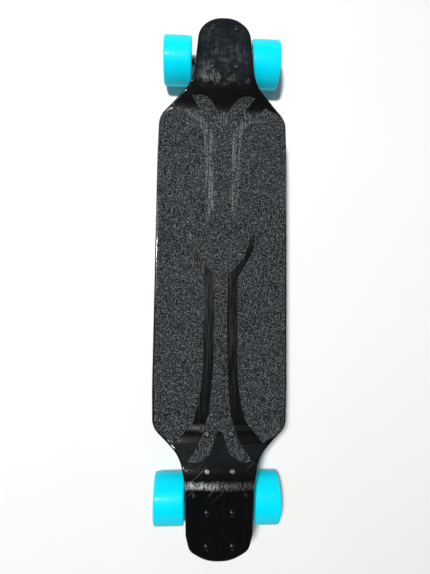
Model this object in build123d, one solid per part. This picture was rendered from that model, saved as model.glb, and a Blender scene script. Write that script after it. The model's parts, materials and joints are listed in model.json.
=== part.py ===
from build123d import *
import math
import os

# Electric skateboard: a dropped-platform deck on two reverse-kingpin trucks,
# with a motor in each rear wheel and the battery in a case under the platform.
# Millimetres.  +Z up, +Y towards the nose, +X to the rider's right.
# The origin is on the ground under the middle of the board.

# ---------------------------------------------------------------- driving sizes
# deck outline, as half-widths and stations along the board
NOSE_Y = 452.0
TAIL_Y = -465.0
FLARE_FRONT_Y = 281.0          # where the platform's side meets the front flare
FLARE_REAR_Y = -260.4
NECK_FRONT_Y = 338.0           # where the front flare meets the nose plate's side
NECK_REAR_Y = -305.6
PLATFORM_HALF_W = 114.8
FLARE_INSET = 1.8              # how much narrower the platform's ends are than its middle
FLARE_HALF_W = PLATFORM_HALF_W - FLARE_INSET
NECK_FRONT_HALF_W = 54.2
NECK_REAR_HALF_W = 65.5
TAIL_HALF_W = 56.4
NOSE_HALF_W = 45.4

# deck section
DECK_T = 11.0
DROP = 22.0                    # how far the platform lies below the plates
SLOPE_FRONT_Y = 291.0          # foot of each slope, as a sharp corner
SLOPE_REAR_Y = -275.0
SLOPE_RUN = 56.0
BEND_R = 65.0                  # round of the bends at the foot and the head of a slope
EDGE_R = 3.0

# grip tape
GRIP_T = 0.9
GLUE = 0.1                     # glue line, and the gap left between curved faces that mate
GRIP_MARGIN = 3.4              # bare rim round the grip

# wheels and axles
WHEEL_R = 45.0
WHEEL_W = 53.0
WHEEL_LIP_R = 4.0
TRACK_HALF = 84.0              # board's middle to wheel's middle
FRONT_AXLE_Y = 420.0
REAR_AXLE_Y = -398.2
CORE_R = 30.0
HUB_R = 15.0
BEARING_R = 11.0
BEARING_W = 7.0
FRONT_AXLE_R = 4.0
RUNNING_FIT = 0.05             # radial clearance of a part that turns on a shaft
SIDE_PLAY = 0.1

# hub motors
SLEEVE_R = 36.0                # bore of the rear tyre
CAN_T = 3.0
MOTOR_HALF_W = 24.0
END_T = 4.0
MAGNET_T = 2.5
MAGNETS = 16
AIR_GAP = 0.5
TEETH = 12
STATOR_HALF_W = 10.0
WINDING_OVERHANG = 3.0
REAR_AXLE_R = 6.0
MOTOR_BEARING_R = 14.0
MOTOR_BEARING_W = 8.0

# trucks
AXIS_ANGLE = 45.0              # steering axis above the ground plane
RAKE = 10.0                    # axle's offset from the steering axis
RING_DISTANCE = 24.0           # along the steering axis, from the axle to the kingpin
RING_R = 15.0
RING_T = 8.0
RING_BORE_R = 7.2
BUSHING_R = 12.0
BUSHING_H = 13.0
CUP_WASHER_T = 1.6
KINGPIN_R = 5.0
KINGPIN_NUT_H = 7.0
PIVOT_R = 7.0
PIVOT_TIP = 29.0               # along the steering axis, from the axle to the pivot's tip
PIVOT_HOUSING_R = 12.5
PIVOT_HOUSING_FROM = 16.0
PIVOT_HOUSING_TO = 35.0
PIVOT_CUP_T = 2.2
TRUCK_H = 65.9                 # baseplate's top above the axle
BASE_W = 56.0
BASE_L = 84.0
BASE_T = 7.0
WEDGE_HALF_W = 14.0
HANGER_HALF_W = 54.0
BOLT_HALF_X = 20.65
BOLT_HALF_Y = 34.2
PATTERN_TO_AXLE = 22.6         # the axle stands this far outboard of its bolt pattern
RISER_T = 8.0

# fasteners
M5_R = 2.5
M5_HOLE_R = 2.75
HEAD_R = 4.7
HEAD_H = 2.8
NUT_H = 5.0
M4_R = 2.0

# tail bracket
BRACKET_FRONT_Y = -262.0
BRACKET_HALF_W = 48.0
BRACKET_MARGIN = 6.0
TAIL_BOLT_YS = (-271.0, -325.4, -390.3, -442.2)
SIDE_SCREW_X = 42.2
SIDE_SCREW_Y = -362.0

# battery case
CASE_Y0 = -248.0
CASE_WALL = 2.5
CASE_CORNER_R = 14.0
FLANGE_W = 11.0
FLANGE_T = 4.0
GASKET_T = 2.5
INSERT_R = 3.0
INSERT_L = 7.0
CASE_SCREWS_PER_SIDE = 5
CELL_R = 10.5
CELL_L = 70.0
CELL_GAP = 0.8
CELL_ROWS = 12
CELL_HEADROOM = 4.9
CELL_SIDE_GAP = 1.5
CELL_MIDDLE_GAP = 2.0
CELL_ROW_MARGIN = 9.0          # clears the case's round corners
BAY_GAP = 8.4                  # between the last cells and the electronics' bay
BAY_L = 116.0                  # length of the electronics' bay behind the cells
BUTTON_Y = -192.0
PORT_Y = -160.0
GAUGE_Y = -222.0
BUTTON_R = 6.0
BUTTON_TRAVEL = 1.5
BEZEL_PROUD = 1.2
PORT_BORE_R = 4.0
PORT_BORE_L = 10.0
GLAND_X = 34.0

# ---------------------------------------------------------------- derived sizes
AXLE_Z = WHEEL_R
PLATE_TOP_Z = AXLE_Z + TRUCK_H + RISER_T + DECK_T + GLUE    # top of the nose and tail plates
PLATFORM_TOP_Z = PLATE_TOP_Z - DROP
PLATE_UNDER_Z = PLATE_TOP_Z - DECK_T
CELL_PITCH = 2 * CELL_R + CELL_GAP
CASE_DEPTH = 2 * CELL_R + CASE_WALL + GLUE + CELL_HEADROOM
CASE_HALF_W = CELL_MIDDLE_GAP / 2 + CELL_L + CELL_SIDE_GAP + CASE_WALL
CASE_L = 2 * CASE_WALL + BAY_L + BAY_GAP + CELL_ROWS * CELL_PITCH + CELL_ROW_MARGIN
CASE_Y1 = CASE_Y0 + CASE_L
CASE_TOP_Z = PLATFORM_TOP_Z - DECK_T - GASKET_T - GLUE
CASE_FLOOR_Z = CASE_TOP_Z - CASE_DEPTH
INSERT_TOP_Z = PLATFORM_TOP_Z - DECK_T + INSERT_L
COS = math.cos(math.radians(AXIS_ANGLE))
SIN = math.sin(math.radians(AXIS_ANGLE))

BOTTOM = (Align.CENTER, Align.CENTER, Align.MIN)


def write(name, shape):
    """Write one named piece."""
    export_step(shape, os.path.join("parts", name + ".step"))


def group(solids):
    """Several separate solids as one piece."""
    return Compound(children=[s for item in solids for s in item.solids()])


def rod(start, direction, radius, length):
    """A cylinder from a point along a direction."""
    return Plane(origin=start, z_dir=direction) * Cylinder(radius, length, align=BOTTOM)


def tube(start, direction, outer, inner, length):
    """A hollow cylinder from a point along a direction."""
    return rod(start, direction, outer, length) - rod(start, direction, inner, length)


def hexagon(start, direction, radius, length):
    """A hexagonal prism, by its corner radius."""
    return Plane(origin=start, z_dir=direction) * extrude(RegularPolygon(radius, 6), length)


def prism_x(points, half_width):
    """A solid from (y, z) points, as wide as twice half_width along X."""
    section = Plane.YZ * Polygon(*points, align=None)
    return extrude(section, half_width, both=True)


def turned(*points):
    """A solid turned about X from (x, radius) points."""
    return revolve(Plane.XY * Polygon(*points, align=None), axis=Axis.X)


# ---------------------------------------------------------------- deck
SLOPE_ANGLE = math.atan2(DROP, SLOPE_RUN)
BEND_TANGENT = BEND_R * math.tan(SLOPE_ANGLE / 2)


def bend_rise(reach):
    """Rise of a bend at a distance past its start."""
    return BEND_R - math.sqrt(BEND_R ** 2 - reach ** 2)


def slope_rise(run):
    """Height above the platform at a distance past a slope's foot."""
    round_end = BEND_TANGENT * math.cos(SLOPE_ANGLE)
    if run <= -BEND_TANGENT:
        return 0.0
    if run < round_end:
        return bend_rise(run + BEND_TANGENT)
    if run < SLOPE_RUN - round_end:
        return run * math.tan(SLOPE_ANGLE)
    if run < SLOPE_RUN + BEND_TANGENT:
        return DROP - bend_rise(SLOPE_RUN + BEND_TANGENT - run)
    return DROP


def deck_top(y):
    """Height of the deck's top at a station."""
    return PLATE_TOP_Z - DROP + slope_rise(y - SLOPE_FRONT_Y) + slope_rise(SLOPE_REAR_Y - y)


def deck_normal(y):
    """The deck top's upward direction at a station."""
    step = 0.5
    return Vector(0, deck_top(y - step) - deck_top(y + step), 2 * step).normalized()


def side_line(lower):
    """The deck top's line seen from the side, or one below it, past both ends."""
    low = PLATE_TOP_Z - DROP - lower
    high = PLATE_TOP_Z - lower
    overhang = 20.0
    points = [(TAIL_Y - overhang, high), (SLOPE_REAR_Y - SLOPE_RUN, high), (SLOPE_REAR_Y, low),
              (SLOPE_FRONT_Y, low), (SLOPE_FRONT_Y + SLOPE_RUN, high), (NOSE_Y + overhang, high)]
    return FilletPolyline(*points, radius=BEND_R)


def layer(upper, thickness, outline):
    """A sheet that follows the deck, inside an outline, its top that far below the deck's."""
    above = side_line(upper)
    below = side_line(upper + thickness)
    ends = [Line(above @ 0, below @ 0), Line(above @ 1, below @ 1)]
    section = Plane.YZ * make_face(above + below + ends)
    sheet = extrude(section, PLATFORM_HALF_W + 10, both=True)
    return sheet & extrude(outline, amount=2 * PLATE_TOP_Z)


def deck_outline():
    """The deck seen from above."""
    corners = [
        (0, NOSE_Y, 0), (NOSE_HALF_W - 23, NOSE_Y, 45), (NOSE_HALF_W, NOSE_Y - 23, 35),
        (NECK_FRONT_HALF_W, NECK_FRONT_Y, 55), (FLARE_HALF_W, FLARE_FRONT_Y, 38),
        (PLATFORM_HALF_W, FLARE_FRONT_Y - 66, 400), (PLATFORM_HALF_W, FLARE_REAR_Y + 70, 600),
        (FLARE_HALF_W, FLARE_REAR_Y, 32), (NECK_REAR_HALF_W, NECK_REAR_Y, 60),
        (TAIL_HALF_W, NECK_REAR_Y - 44, 60), (TAIL_HALF_W - 2.2, TAIL_Y + 40, 25),
        (TAIL_HALF_W - 8.6, TAIL_Y + 16, 20), (19, TAIL_Y, 60), (0, TAIL_Y, 0),
    ]
    points = [(x, y) for x, y, radius in corners]
    radii = [radius for x, y, radius in corners[1:-1]]
    right = FilletPolyline(*points, radius=radii)
    return make_face(right + mirror(right, about=Plane.YZ))


def tail_bolt_places():
    """Each tail bolt's point on the deck top, with the deck's normal there."""
    return [(Vector(x, y, deck_top(y)), deck_normal(y))
            for y in TAIL_BOLT_YS for x in (-BOLT_HALF_X, BOLT_HALF_X)]


def side_screw_places():
    """The two small screws at the sides of the tail."""
    return [(Vector(x, SIDE_SCREW_Y, deck_top(SIDE_SCREW_Y)), deck_normal(SIDE_SCREW_Y))
            for x in (-SIDE_SCREW_X, SIDE_SCREW_X)]


def front_bolt_places():
    """The four front deck bolts, as (x, y)."""
    centre = FRONT_AXLE_Y - PATTERN_TO_AXLE
    return [(x, centre + y) for x in (-BOLT_HALF_X, BOLT_HALF_X)
            for y in (-BOLT_HALF_Y, BOLT_HALF_Y)]


def case_screw_places():
    """The screws round the case's flange, as (x, y)."""
    side_x = CASE_HALF_W + FLANGE_W / 2
    first = CASE_Y0 + CASE_CORNER_R
    last = CASE_Y1 - CASE_CORNER_R
    places = []
    for i in range(CASE_SCREWS_PER_SIDE):
        y = first + (last - first) * i / (CASE_SCREWS_PER_SIDE - 1)
        places += [(-side_x, y), (side_x, y)]
    return places


def deck_board(outline):
    """Laminated board with its rim rounded and its holes drilled."""
    board = layer(0, DECK_T, outline)
    rim = [e for e in board.edges() if abs((e @ 0).Z - (e @ 1).Z) < DECK_T - 0.1
           or abs((e @ 0).X - (e @ 1).X) > 0.01]
    board = fillet(rim, EDGE_R)
    depth = 4 * DECK_T
    cuts = []
    for x, y in front_bolt_places():
        cuts.append(rod((x, y, PLATE_TOP_Z + DECK_T), (0, 0, -1), M5_HOLE_R, depth))
    for place, normal in tail_bolt_places() + side_screw_places():
        cuts.append(rod(place + normal * DECK_T, -normal, M5_HOLE_R, depth))
    for x, y in case_screw_places():
        cuts.append(rod((x, y, INSERT_TOP_Z - 2 * INSERT_L), (0, 0, 1), INSERT_R, 2 * INSERT_L))
    return board - cuts


# ---------------------------------------------------------------- grip tape
FRONT_VALLEY = [(0, 264.5), (6.6, 272), (11.5, 292), (19.5, 304.5), (31, 313), (44, 315.2)]
FRONT_MOUTH_OUT = [(56, 313), (49.2, 304.4), (43, 295.8), (36, 281)]
FRONT_MOUTH_IN = [(35.6, 257), (49, 270.5), (57, 277.5), (66, 288), (75.7, 298.7)]
FRONT_CHANNEL = [(28, 148), (30.9, 184), (32.4, 221)]
FRONT_CHANNEL_IN = [(17.8, 256), (16.9, 221), (16.8, 184), (15, 148)]
REAR_VALLEY = [(0, -265), (6.4, -271.5), (10.6, -287), (19, -302.5), (30, -309.8), (41, -312.6)]
REAR_PRONG_OUT = [(53, -311.3), (42, -295.6), (34.8, -285.8), (29.8, -275), (25, -260)]
REAR_CHANNEL_IN = [(18.6, -239), (15.7, -214), (12, -147), (10.8, -97), (11.2, -45), (12, -2)]
REAR_CHANNEL_OUT = [(28.6, -9), (28.5, -45), (28.8, -97), (29.5, -147), (31, -181), (34.8, -214)]
REAR_LOBE = [(41.5, -239), (47, -254), (56, -264), (64, -274), (73, -284.5)]
HOOK_INNER = [(12, -2), (24, 12), (39, 30), (47, 52), (57.7, 76)]
HOOK_OUTER = [(57.7, 76), (57, 50), (49, 29), (38, 10), (28.6, -9)]
FRONT_CHANNEL_END = [(15, 148), (15.5, 118), (22, 100), (27, 118), (28, 148)]


def both_sides(shape):
    """A flat shape with its mirror image across the board's middle."""
    return [shape, mirror(shape, about=Plane.YZ)]


def shape_of(*curves):
    """A flat face inside curves given in order round it, each through its points."""
    edges = []
    for points in curves:
        edges.append(Line(*points) if len(points) == 2 else Spline(*points))
    return make_face(Curve() + edges)


def grip_cuts():
    """The bare channels, and the valleys at the two ends of the grip."""
    front = FRONT_VALLEY[-1], FRONT_MOUTH_OUT[0]
    beyond = NOSE_Y + 40
    front_channel = shape_of(
        FRONT_MOUTH_OUT + [FRONT_CHANNEL_IN[0]], FRONT_CHANNEL_IN, FRONT_CHANNEL_END,
        FRONT_CHANNEL + [FRONT_MOUTH_IN[0]], FRONT_MOUTH_IN,
        [FRONT_MOUTH_IN[-1], (FRONT_MOUTH_IN[-1][0], beyond)],
        [(FRONT_MOUTH_IN[-1][0], beyond), (FRONT_MOUTH_OUT[0][0], beyond)],
        [(FRONT_MOUTH_OUT[0][0], beyond), FRONT_MOUTH_OUT[0]])
    front_valley = shape_of(
        FRONT_VALLEY, list(front), [front[1], (front[1][0], beyond)],
        [(front[1][0], beyond), (0, beyond)], [(0, beyond), FRONT_VALLEY[0]])
    past = TAIL_Y - 40
    rear_channel = shape_of(
        REAR_PRONG_OUT + [REAR_CHANNEL_IN[0]], REAR_CHANNEL_IN, HOOK_INNER, HOOK_OUTER,
        REAR_CHANNEL_OUT + [REAR_LOBE[0]], REAR_LOBE,
        [REAR_LOBE[-1], (REAR_LOBE[-1][0], past)],
        [(REAR_LOBE[-1][0], past), (REAR_PRONG_OUT[0][0], past)],
        [(REAR_PRONG_OUT[0][0], past), REAR_PRONG_OUT[0]])
    rear = REAR_VALLEY[-1], REAR_PRONG_OUT[0]
    rear_valley = shape_of(
        REAR_VALLEY, list(rear), [rear[1], (rear[1][0], past)],
        [(rear[1][0], past), (0, past)], [(0, past), REAR_VALLEY[0]])
    cuts = []
    for shape in (front_channel, front_valley, rear_channel, rear_valley):
        cuts += both_sides(shape)
    for tip, sign in ((FRONT_MOUTH_IN[-1], 1), (REAR_LOBE[-1], -1)):
        rim_x = PLATFORM_HALF_W + 10
        outer = Polygon(tip, (rim_x, tip[1] - sign * 27), (rim_x, sign * 600),
                        (tip[0], sign * 600), align=None)
        cuts += both_sides(outer)
    return cuts


def grip_tape(outline):
    """Sheet of grip on the platform, with two bare channels and forked ends."""
    sheet = offset(outline, -GRIP_MARGIN)
    flat = sheet - grip_cuts()
    body = layer(-GLUE - GRIP_T, GRIP_T, flat)
    return body - [rod(place - normal * DECK_T, normal, HEAD_R + 1, 2 * DECK_T)
                   for place, normal in tail_bolt_places()]


# ---------------------------------------------------------------- trucks
# A truck is drawn about its own axle's middle with outboard along +Y, then set in place.
def ak(along, across):
    """(y, z) of a place along the steering axis and across it, towards the kingpin nut."""
    return (-RAKE * SIN + along * COS + across * SIN,
            RAKE * COS + along * SIN - across * COS)


def ak3(along, across, x=0.0):
    """The same as a 3-D point."""
    y, z = ak(along, across)
    return Vector(x, y, z)


AXIS_DIR = (0, COS, SIN)
KINGPIN_DIR = (0, SIN, -COS)
SEAT_K = -(RING_T / 2 + BUSHING_H + CUP_WASHER_T)
NUT_K = -SEAT_K
KINGPIN_HEAD_R = 8.0
KINGPIN_HEAD_H = 7.0
KINGPIN_HEAD_DEPTH = 0.6       # below the baseplate's top
RING_Z = RAKE * COS + RING_DISTANCE * SIN
HEAD_K = KINGPIN_HEAD_H - (TRUCK_H - KINGPIN_HEAD_DEPTH - RING_Z - KINGPIN_HEAD_R * SIN) / COS
KINGPIN_GRIP = SEAT_K - HEAD_K
BEAM_END_R = 8.5
BEAM_MID_R = 10.0


def truck_bolt_places():
    """The four holes of a baseplate, as (x, y) about the axle."""
    return [(x, -PATTERN_TO_AXLE + y) for x in (-BOLT_HALF_X, BOLT_HALF_X)
            for y in (-BOLT_HALF_Y, BOLT_HALF_Y)]


def baseplate():
    """Casting with the bolted plate, the slanted bushing seat and the pivot's housing."""
    plate = Pos(0, -PATTERN_TO_AXLE, TRUCK_H - BASE_T) * Box(BASE_W, BASE_L, BASE_T, align=BOTTOM)
    plate = fillet(plate.edges().filter_by(Axis.Z), 9)
    under = TRUCK_H - BASE_T
    heel = ak(-PIVOT_HOUSING_TO, SEAT_K)
    toe_along = (under - RAKE * COS + SEAT_K * COS) / SIN
    toe = ak(toe_along, SEAT_K)
    wedge = prism_x([heel, toe, (toe[0], under + 1), (heel[0], under + 1)], WEDGE_HALF_W)
    rib = 4.5
    inner = [(heel[0] + rib, heel[1] + 2.6 * rib), (toe[0] - 2.6 * rib, under - rib),
             (heel[0] + rib, under - rib)]
    pocket = prism_x(inner, WEDGE_HALF_W) - prism_x(inner, KINGPIN_R + 5)
    arm = prism_x([ak(-PIVOT_HOUSING_TO, SEAT_K - 1), ak(-PIVOT_HOUSING_FROM, SEAT_K - 1),
                   ak(-PIVOT_HOUSING_FROM, 0), ak(-PIVOT_HOUSING_TO, 0)], PIVOT_HOUSING_R)
    housing = rod(ak3(-PIVOT_HOUSING_TO, 0), AXIS_DIR, PIVOT_HOUSING_R,
                  PIVOT_HOUSING_TO - PIVOT_HOUSING_FROM)
    seat = rod(ak3(RING_DISTANCE, SEAT_K - 4), KINGPIN_DIR, BUSHING_R + 2, 4)
    seat = seat & Pos(0, 0, under - 50) * Box(100, 300, 50, align=BOTTOM)
    body = plate + (wedge - pocket) + arm + housing + seat
    cup_bore = rod(ak3(-PIVOT_HOUSING_TO + 3, 0), AXIS_DIR, PIVOT_R + PIVOT_CUP_T + GLUE,
                   PIVOT_HOUSING_TO)
    head_pocket = rod(ak3(RING_DISTANCE, HEAD_K), (0, -SIN, COS), KINGPIN_HEAD_R + 0.6, 60)
    pin_bore = rod(ak3(RING_DISTANCE, HEAD_K - 1), KINGPIN_DIR, KINGPIN_R + GLUE, KINGPIN_GRIP + 2)
    cuts = [cup_bore, head_pocket, pin_bore]
    cuts += [rod((x, y, TRUCK_H + 1), (0, 0, -1), M5_HOLE_R, BASE_T + 2) for x, y in truck_bolt_places()]
    return body - cuts


def hanger(axle_r, neck_end):
    """Casting with the axle's beam, the bushing ring and the pivot."""
    neck_r = axle_r + 2.6
    half = turned((0, 0), (neck_end, 0), (neck_end, neck_r), (HANGER_HALF_W, neck_r),
                  (HANGER_HALF_W, BEAM_END_R), (RING_R + 6, BEAM_MID_R), (0, BEAM_MID_R))
    beam = half + mirror(half, about=Plane.YZ)
    ring = rod(ak3(RING_DISTANCE, -RING_T / 2), KINGPIN_DIR, RING_R, RING_T)
    web = prism_x([ak(0, -RING_T / 2), ak(RING_DISTANCE, -RING_T / 2), ak(RING_DISTANCE, RING_T / 2),
                   ak(BEAM_MID_R - 3, RING_T / 2), ak(2, RAKE)], RING_R)
    gusset_top = [ak(-BEAM_MID_R + 1, RAKE), ak(0, -RING_T / 2), ak(BEAM_MID_R - 2, RING_T / 2),
                  ak(BEAM_MID_R - 1, RAKE)]
    gusset = prism_x(gusset_top, RING_R + 10)
    pivot = rod(ak3(-PIVOT_TIP + PIVOT_R / 2, 0), AXIS_DIR, PIVOT_R, PIVOT_TIP)
    tip = Pos(ak3(-PIVOT_TIP + PIVOT_R / 2, 0)) * Sphere(PIVOT_R)
    tip = tip & rod(ak3(-PIVOT_TIP - 1, 0), AXIS_DIR, PIVOT_R, PIVOT_R)
    shoulder = prism_x([ak(-PIVOT_HOUSING_FROM + 2, -PIVOT_R + 1), ak(0, -PIVOT_R + 1),
                        ak(0, RAKE), ak(-PIVOT_HOUSING_FROM + 2, PIVOT_R - 1)], PIVOT_R - 1)
    body = beam + ring + web + gusset + pivot + tip + shoulder
    cuts = [rod(ak3(RING_DISTANCE, -RING_T), KINGPIN_DIR, RING_BORE_R, 2 * RING_T),
            rod(ak3(RING_DISTANCE, RING_T / 2), KINGPIN_DIR, BUSHING_R + 2, 40),
            rod(ak3(RING_DISTANCE, -RING_T / 2 - 40), KINGPIN_DIR, BUSHING_R + 4, 40),
            rod((-neck_end - 1, 0, 0), (1, 0, 0), axle_r, 2 * neck_end + 2)]
    return body - cuts


def pivot_cup():
    """Urethane cup the pivot turns in."""
    depth = PIVOT_HOUSING_TO - 3 - PIVOT_HOUSING_FROM
    cup = rod(ak3(-PIVOT_HOUSING_TO + 3, 0), AXIS_DIR, PIVOT_R + PIVOT_CUP_T, depth)
    return cup - rod(ak3(-PIVOT_TIP - 1.5, 0), AXIS_DIR, PIVOT_R + RUNNING_FIT, depth + 5)


def kingpin():
    """Bolt that clamps the hanger between its bushings."""
    length = KINGPIN_GRIP - SEAT_K + NUT_K + KINGPIN_NUT_H + 2
    shank = rod(ak3(RING_DISTANCE, HEAD_K), KINGPIN_DIR, KINGPIN_R, length)
    head = hexagon(ak3(RING_DISTANCE, HEAD_K - KINGPIN_HEAD_H), KINGPIN_DIR, KINGPIN_HEAD_R,
                   KINGPIN_HEAD_H)
    return shank + chamfer(head.edges().filter_by(GeomType.LINE), 0.4)


def kingpin_nut():
    """Lock nut on the kingpin's outer end."""
    nut = hexagon(ak3(RING_DISTANCE, NUT_K), KINGPIN_DIR, KINGPIN_R + 3.6, KINGPIN_NUT_H)
    return nut - rod(ak3(RING_DISTANCE, NUT_K - 1), KINGPIN_DIR, KINGPIN_R, KINGPIN_NUT_H + 2)


def bushings():
    """Barrel bushing on the board's side of the ring and cone bushing on the road's side."""
    gap = GLUE
    height = BUSHING_H - 2 * gap
    barrel = rod(ak3(RING_DISTANCE, SEAT_K + CUP_WASHER_T + gap), KINGPIN_DIR, BUSHING_R, height)
    cone_plane = Plane(origin=ak3(RING_DISTANCE, RING_T / 2 + gap), z_dir=KINGPIN_DIR)
    cone = cone_plane * Cone(BUSHING_R, BUSHING_R - 2.5, height, align=BOTTOM)
    hole = rod(ak3(RING_DISTANCE, SEAT_K - 5), KINGPIN_DIR, KINGPIN_R + 0.2, 4 * BUSHING_H)
    return group([fillet(barrel.edges(), 1.5) - hole, fillet(cone.edges(), 1.2) - hole])


def cup_washers():
    """Cupped washers at the two outer ends of the bushings."""
    top = tube(ak3(RING_DISTANCE, SEAT_K), KINGPIN_DIR, BUSHING_R + 1.5, KINGPIN_R + GLUE, CUP_WASHER_T)
    end = tube(ak3(RING_DISTANCE, NUT_K - CUP_WASHER_T), KINGPIN_DIR, BUSHING_R, KINGPIN_R + GLUE,
               CUP_WASHER_T)
    return group([top, end])


def place_truck(shape, front):
    """Set a truck piece at the front, or turned round at the rear."""
    if front:
        return Pos(0, FRONT_AXLE_Y, AXLE_Z) * shape
    return Pos(0, REAR_AXLE_Y, AXLE_Z) * Rot(0, 0, 180) * shape


# ---------------------------------------------------------------- wheels
# A wheel is drawn about its own middle, its outer face towards +X, then set in place.
INNER_BEARING_U = -19.0
OUTER_BEARING_U = 8.0
WASHER_T = 1.0
NECK_END_FRONT = TRACK_HALF + INNER_BEARING_U - WASHER_T - 2 * SIDE_PLAY
NECK_END_REAR = TRACK_HALF - MOTOR_HALF_W - 0.6
FRONT_AXLE_END = TRACK_HALF + WHEEL_W / 2 - 2
REAR_AXLE_END = TRACK_HALF + MOTOR_HALF_W - END_T - 0.4


def tyre(bore):
    """Cast urethane tyre with rounded lips."""
    w = WHEEL_W / 2
    r = WHEEL_R
    lip = WHEEL_LIP_R
    dish = (r - bore) / 3
    tread = Line((-w + lip, r), (w - lip, r))
    outer_lip = RadiusArc((w - lip, r), (w, r - lip), lip)
    inner_lip = RadiusArc((-w, r - lip), (-w + lip, r), lip)
    rest = Polyline((w, r - lip), (w, bore + dish), (w - dish, bore), (-w + dish, bore),
                    (-w, bore + dish), (-w, r - lip))
    return revolve(make_face(Curve() + [tread, outer_lip, rest, inner_lip]), axis=Axis.X)


def core():
    """Moulded wheel core with two bearing seats and round openings in its web."""
    u0 = INNER_BEARING_U
    u1 = OUTER_BEARING_U + BEARING_W
    seat0 = u0 + BEARING_W
    rim = turned((-21, CORE_R - 5), (21, CORE_R - 5), (21, CORE_R), (-21, CORE_R))
    hub = turned((u0, BEARING_R), (seat0, BEARING_R), (seat0, BEARING_R - 2),
                 (OUTER_BEARING_U, BEARING_R - 2), (OUTER_BEARING_U, BEARING_R), (u1, BEARING_R),
                 (u1, HUB_R), (u0, HUB_R))
    web = turned((-9, HUB_R - 1), (7, HUB_R - 1), (7, CORE_R - 4), (-9, CORE_R - 4))
    mid = (HUB_R + CORE_R - 5) / 2
    openings = [Rot(45 * i, 0, 0) * rod((-15, mid, 0), (1, 0, 0), 3.3, 30) for i in range(8)]
    return rim + hub + (web - openings)


def bearing(u, outer, bore, width):
    """Shielded ball bearing with a groove round each shield."""
    ring = turned((u, bore + RUNNING_FIT), (u + width, bore + RUNNING_FIT), (u + width, outer), (u, outer))
    groove_in = bore + (outer - bore) * 0.32
    groove_out = bore + (outer - bore) * 0.72
    depth = 0.5
    first = turned((u, groove_in), (u + depth, groove_in), (u + depth, groove_out), (u, groove_out))
    last = Pos(width - depth, 0, 0) * first
    return ring - [first, last]


def front_bearings():
    """The two bearings of a front wheel."""
    return group([bearing(u, BEARING_R, FRONT_AXLE_R, BEARING_W)
                  for u in (INNER_BEARING_U, OUTER_BEARING_U)])


def spacer():
    """Tube between the inner rings of a front wheel's bearings."""
    start = INNER_BEARING_U + BEARING_W
    bore = FRONT_AXLE_R + 2 * RUNNING_FIT
    return tube((start, 0, 0), (1, 0, 0), FRONT_AXLE_R + 1.6, bore, OUTER_BEARING_U - start)


def rotor_can():
    """Steel ring of the hub motor with its closed outer end."""
    m = MOTOR_HALF_W
    inside = SLEEVE_R - CAN_T
    boss = MOTOR_BEARING_R + 3
    end = m - END_T
    seat = end - 0.5 - MOTOR_BEARING_W
    shell = turned((-m, inside), (end, inside), (end, boss), (seat, boss), (seat, MOTOR_BEARING_R),
                   (end, MOTOR_BEARING_R), (end, 0), (m - 1.5, 0), (m - 1.5, boss), (m, boss + 2),
                   (m, SLEEVE_R), (-m, SLEEVE_R))
    slots = [Rot(36 * i, 0, 0) * rod((m, (boss + inside) / 2 + 1, 0), (-1, 0, 0), 2.6, 1.6)
             for i in range(10)]
    return shell - slots


def motor_cover():
    """Inner end of the hub motor, with its bearing seat."""
    m = MOTOR_HALF_W
    inside = SLEEVE_R - CAN_T
    boss = MOTOR_BEARING_R + 3
    end = m - END_T
    seat = end - 0.5 - MOTOR_BEARING_W
    bore = REAR_AXLE_R + 1.2
    return turned((-m, bore), (-end - 0.01, bore), (-end - 0.01, MOTOR_BEARING_R), (-seat, MOTOR_BEARING_R),
                  (-seat, boss), (-end, boss), (-end, inside), (-m, inside))


def motor_bearings():
    """The two bearings of a hub motor."""
    far = MOTOR_HALF_W - END_T - 0.5
    return group([bearing(far - MOTOR_BEARING_W, MOTOR_BEARING_R, REAR_AXLE_R, MOTOR_BEARING_W),
                  bearing(-far, MOTOR_BEARING_R, REAR_AXLE_R, MOTOR_BEARING_W)])


def magnets():
    """Ring of magnets inside the can."""
    outer = SLEEVE_R - CAN_T
    half = STATOR_HALF_W + 2
    ring = turned((-half, outer - MAGNET_T), (half, outer - MAGNET_T), (half, outer), (-half, outer))
    gaps = [Rot(360 / MAGNETS * i, 0, 0) * Pos(0, outer, 0) * Box(2 * half + 2, 4 * MAGNET_T, 0.8)
            for i in range(MAGNETS)]
    return ring - gaps


STATOR_R = SLEEVE_R - CAN_T - MAGNET_T - AIR_GAP
TOOTH_W = 5.0
TOOTH_TIP_T = 2.4
STATOR_HUB_R = 15.5


def stator():
    """Laminated stator: a hub, and teeth with wide tips."""
    w = STATOR_HALF_W
    hub = turned((-w, REAR_AXLE_R), (w, REAR_AXLE_R), (w, STATOR_HUB_R), (-w, STATOR_HUB_R))
    tips = turned((-w, STATOR_R - TOOTH_TIP_T), (w, STATOR_R - TOOTH_TIP_T), (w, STATOR_R), (-w, STATOR_R))
    teeth = []
    slots = []
    for i in range(TEETH):
        turn = Rot(360 / TEETH * i, 0, 0)
        reach = STATOR_R - TOOTH_TIP_T / 2
        teeth.append(turn * Pos(0, reach / 2 + 5, 0) * Box(2 * w, reach - 10, TOOTH_W))
        half_turn = Rot(360 / TEETH * (i + 0.5), 0, 0)
        slots.append(half_turn * Pos(0, STATOR_R, 0) * Box(2 * w + 2, 4 * TOOTH_TIP_T, 2.5))
    return hub + (tips - slots) + teeth


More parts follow.
